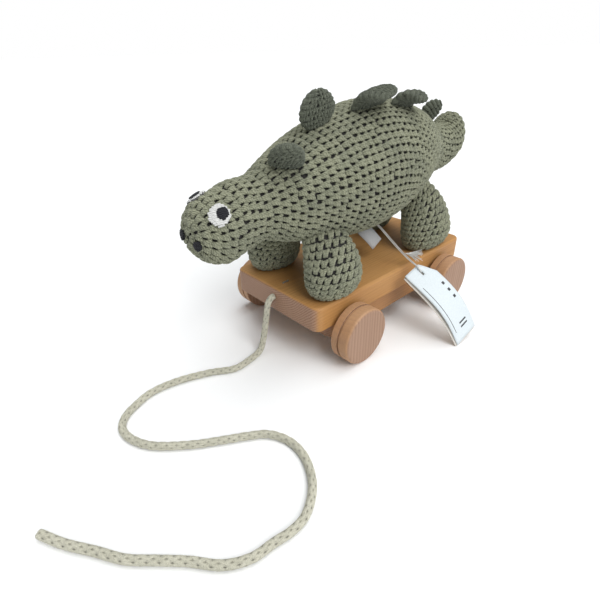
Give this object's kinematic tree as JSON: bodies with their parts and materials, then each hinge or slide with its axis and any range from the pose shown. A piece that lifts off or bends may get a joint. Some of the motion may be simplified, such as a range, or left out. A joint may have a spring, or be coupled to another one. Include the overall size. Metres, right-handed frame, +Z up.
{
  "type": "pull along toy",
  "caption": "Crocheted stuffed dinosaur with back plates, standing on a wooden trolley that rolls on two turned wheelsets and is pulled by a string.",
  "frame": {"origin": "middle of the toy's footprint on the floor, halfway between nose and tail and between the wheels' outer faces", "axes": "+X forwards, towards the pull string; +Y towards the animal's left side; +Z up from the floor"},
  "size_m": [0.3803, 0.1762, 0.1678],
  "materials": {
    "board_wood": "satin",
    "block_wood": "satin",
    "wheel_wood": "satin",
    "axle_wood": "matte",
    "screw_steel": "satin",
    "staple_steel": "satin",
    "cotton_string": "matte",
    "green_yarn": "matte",
    "dark_green_yarn": "matte",
    "white_yarn": "matte",
    "black_yarn": "matte",
    "stuffing": "matte",
    "label_cloth": "matte",
    "tag_card": "matte",
    "tag_string": "matte"
  },
  "bodies": {
    "trolley": {"deck": "board_wood", "under_board": "block_wood", "under_board_screws": "screw_steel", "foot_screws": "screw_steel", "string_staple": "staple_steel", "pull_string": "cotton_string", "body_cover": "green_yarn", "body_filling": "stuffing", "leg_cover_front_left": "green_yarn", "leg_cover_front_right": "green_yarn", "leg_cover_rear_left": "green_yarn", "leg_cover_rear_right": "green_yarn", "leg_filling_front_left": "stuffing", "leg_filling_front_right": "stuffing", "leg_filling_rear_left": "stuffing", "leg_filling_rear_right": "stuffing", "foot_disc_front_left": "axle_wood", "foot_disc_front_right": "axle_wood", "foot_disc_rear_left": "axle_wood", "foot_disc_rear_right": "axle_wood", "plate_neck": "dark_green_yarn", "plate_shoulder": "dark_green_yarn", "plate_back": "dark_green_yarn", "plate_rump": "dark_green_yarn", "plate_tail": "dark_green_yarn", "eye_white_left": "white_yarn", "eye_white_right": "white_yarn", "pupil_left": "black_yarn", "pupil_right": "black_yarn", "nostril_left": "black_yarn", "nostril_right": "black_yarn", "care_label": "label_cloth", "tag_front_card": "tag_card", "tag_back_card": "tag_card", "tag_thread": "tag_string", "tag_tassel": "tag_string"},
    "front_wheelset": {"front_axle": "axle_wood", "wheel_front_left": "wheel_wood", "wheel_front_right": "wheel_wood", "axle_spacers_front": "axle_wood"},
    "rear_wheelset": {"rear_axle": "axle_wood", "wheel_rear_left": "wheel_wood", "wheel_rear_right": "wheel_wood", "axle_spacers_rear": "axle_wood"}
  },
  "joints": [
    {"name": "front_wheels_roll", "type": "hinge", "parent": "trolley", "child": "front_wheelset", "pos_m": [0.04532, 0, 0.02], "axis": [0, 1, 0], "continuous": true},
    {"name": "rear_wheels_roll", "type": "hinge", "parent": "trolley", "child": "rear_wheelset", "pos_m": [-0.06218, 0, 0.02], "axis": [0, 1, 0], "continuous": true}
  ]
}
